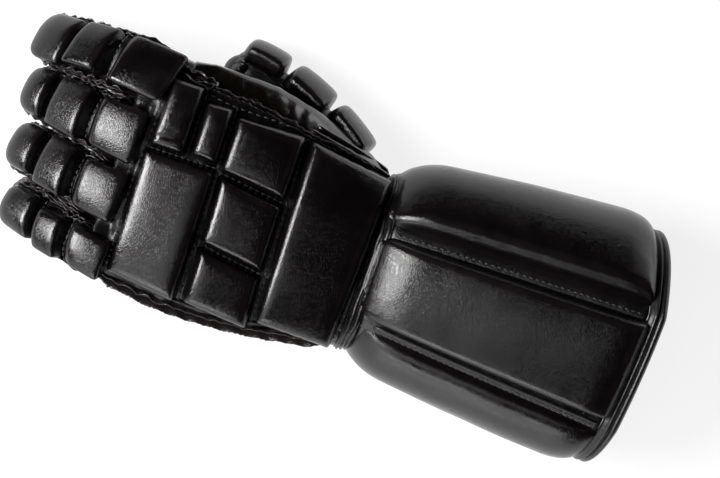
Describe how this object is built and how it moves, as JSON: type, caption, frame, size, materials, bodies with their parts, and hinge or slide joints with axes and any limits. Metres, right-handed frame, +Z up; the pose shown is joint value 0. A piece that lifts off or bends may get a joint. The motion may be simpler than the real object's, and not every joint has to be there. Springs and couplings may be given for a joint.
{
  "type": "escrima glove",
  "caption": "Left-hand padded leather stick-fighting glove with block pads on fingers, thumb, knuckles and hand, and a flared padded forearm cuff, lying palm down.",
  "frame": {"origin": "middle of the bounding box, on the surface that the glove lies on", "axes": "-X along the fingers, +X out of the cuff's mouth, +Y to the thumb side, +Z up out of the back of the hand"},
  "size_m": [0.3419, 0.1576, 0.0822],
  "materials": {
    "pad_leather": "fine pebbled, satin",
    "body_leather": "smooth, creased, satin",
    "gloss_leather": "smooth, puckered, glossy",
    "binding_leather": "thin folded binding, semi-gloss"
  },
  "bodies": {
    "root": {"index_pad_knuckle": "pad_leather", "index_pad_middle": "pad_leather", "index_pad_tip": "pad_leather", "middle_pad_knuckle": "pad_leather", "middle_pad_middle": "pad_leather", "middle_pad_tip": "pad_leather", "ring_pad_knuckle": "pad_leather", "ring_pad_middle": "pad_leather", "ring_pad_tip": "pad_leather", "little_pad_knuckle": "pad_leather", "little_pad_middle": "pad_leather", "little_pad_tip": "pad_leather", "thumb_pad_root": "pad_leather", "thumb_pad_middle": "pad_leather", "thumb_pad_tip": "pad_leather", "index_knuckle_pad": "pad_leather", "knuckle_bar": "pad_leather", "index_hand_pad": "pad_leather", "thumb_side_pad": "pad_leather", "middle_hand_pad": "pad_leather", "little_side_pad": "pad_leather", "wrist_pad": "pad_leather", "cuff_pad_back": "pad_leather", "cuff_pad_thumb_side": "pad_leather", "cuff_pad_little_side": "pad_leather", "back_leather": "body_leather", "palm_leather": "body_leather", "index_sleeve": "body_leather", "middle_sleeve": "body_leather", "ring_sleeve": "body_leather", "little_sleeve": "body_leather", "thumb_sleeve": "body_leather", "thumb_side_seam": "body_leather", "little_side_seam": "body_leather", "cuff_tube": "body_leather", "thumb_web_gusset": "gloss_leather", "wrist_binding": "binding_leather", "cuff_hem": "binding_leather"}
  },
  "joints": []
}
